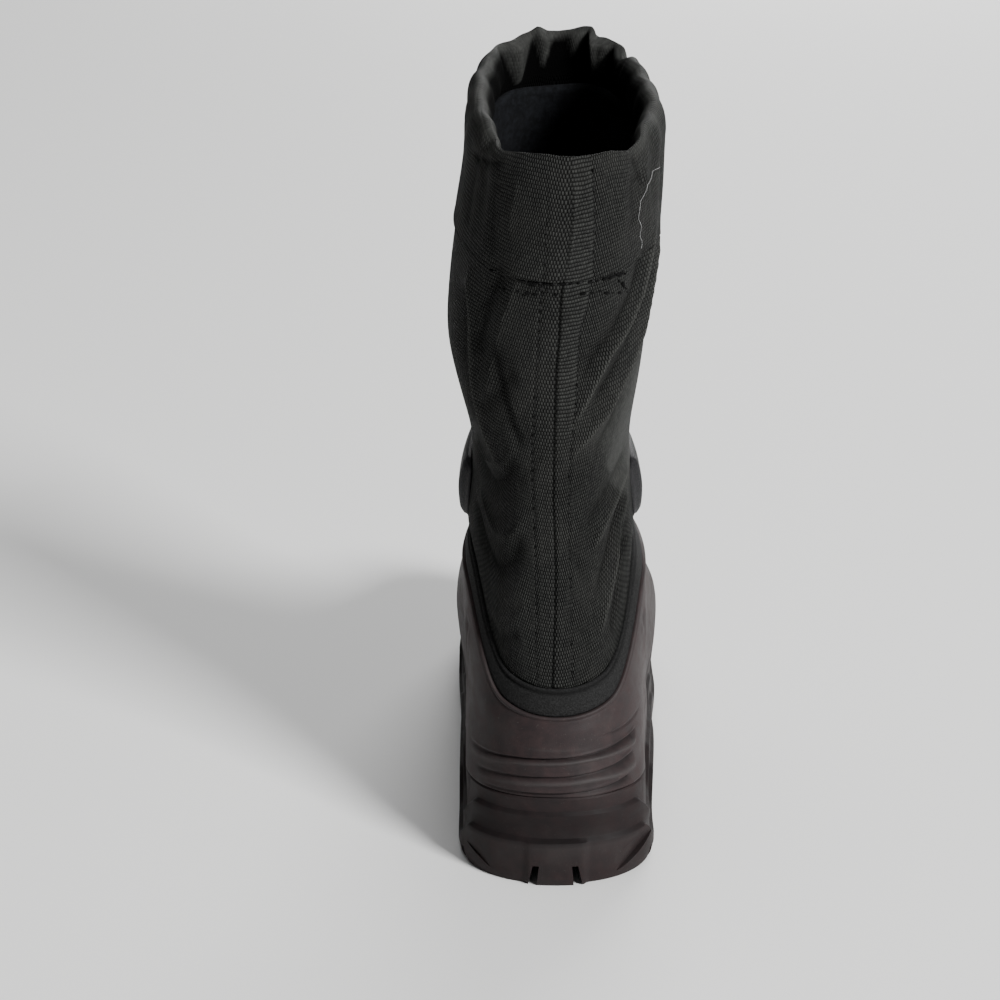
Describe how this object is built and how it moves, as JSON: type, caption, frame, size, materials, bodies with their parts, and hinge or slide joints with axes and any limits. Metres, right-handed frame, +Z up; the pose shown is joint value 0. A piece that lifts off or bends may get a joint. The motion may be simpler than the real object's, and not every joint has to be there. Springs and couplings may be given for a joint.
{
  "type": "snow boot",
  "caption": "Pull-on snow boot for a right foot: ribbed rubber shell on a lugged cup sole, padded nylon shaft with instep strap and gathered collar.",
  "frame": {"origin": "on the floor, under the middle of the boot's bounding box", "axes": "+Z up, +Y towards the toe, +X towards the outer side of the foot"},
  "size_m": [0.0986, 0.271, 0.3371],
  "materials": {
    "outsole_rubber": "satin moulded rubber",
    "insole_felt": "matt felt",
    "shell_rubber": "semi-gloss moulded rubber, dusty",
    "binding_fabric": "finely grained tape",
    "shaft_nylon": "coarse basket-weave nylon",
    "strap_synthetic": "smooth coated synthetic",
    "lining_fleece": "short fuzzy pile",
    "thread": "sewing thread"
  },
  "bodies": {
    "root": {"outsole": "outsole_rubber", "insole": "insole_felt", "shell": "shell_rubber", "topline_binding": "binding_fabric", "shaft": "shaft_nylon", "instep_strap": "strap_synthetic"}
  },
  "joints": []
}
